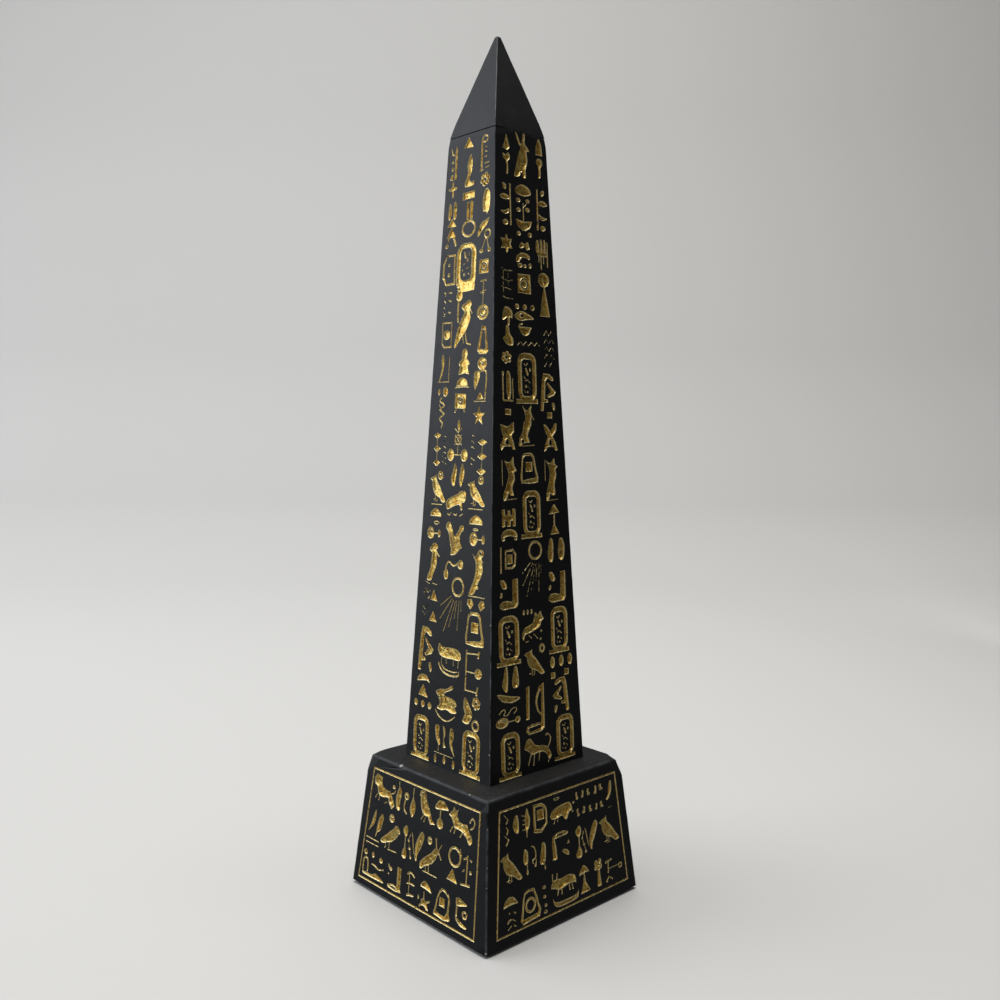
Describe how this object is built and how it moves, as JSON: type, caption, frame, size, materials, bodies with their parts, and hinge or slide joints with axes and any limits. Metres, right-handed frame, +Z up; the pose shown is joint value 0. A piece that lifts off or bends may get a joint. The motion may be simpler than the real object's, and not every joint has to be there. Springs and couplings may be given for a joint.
{
  "type": "desk obelisk",
  "caption": "Desk model of an Egyptian obelisk: tapered black shaft with sunk gilded signs, plain pyramidion and battered pedestal on a felt pad.",
  "frame": {"origin": "middle of the felt's underside, where the obelisk rests", "axes": "+Z up along the shaft to the tip of the pyramidion, -Y out of the front face, +X out of the right face"},
  "size_m": [0.0636, 0.0636, 0.26],
  "materials": {
    "black_resin": "satin black cast resin",
    "gilding": "worn gold paint",
    "felt": "black felt"
  },
  "bodies": {
    "root": {"felt_pad": "felt", "pedestal": "black_resin", "shaft": "black_resin", "pyramidion": "black_resin", "front_border": "gilding", "front_pedestal_signs": "gilding", "front_left_signs": "gilding", "front_middle_signs": "gilding", "front_right_signs": "gilding", "right_border": "gilding", "right_pedestal_signs": "gilding", "right_left_signs": "gilding", "right_middle_signs": "gilding", "right_right_signs": "gilding", "back_border": "gilding", "back_pedestal_signs": "gilding", "back_left_signs": "gilding", "back_middle_signs": "gilding", "back_right_signs": "gilding", "left_border": "gilding", "left_pedestal_signs": "gilding", "left_left_signs": "gilding", "left_middle_signs": "gilding", "left_right_signs": "gilding"}
  },
  "joints": []
}
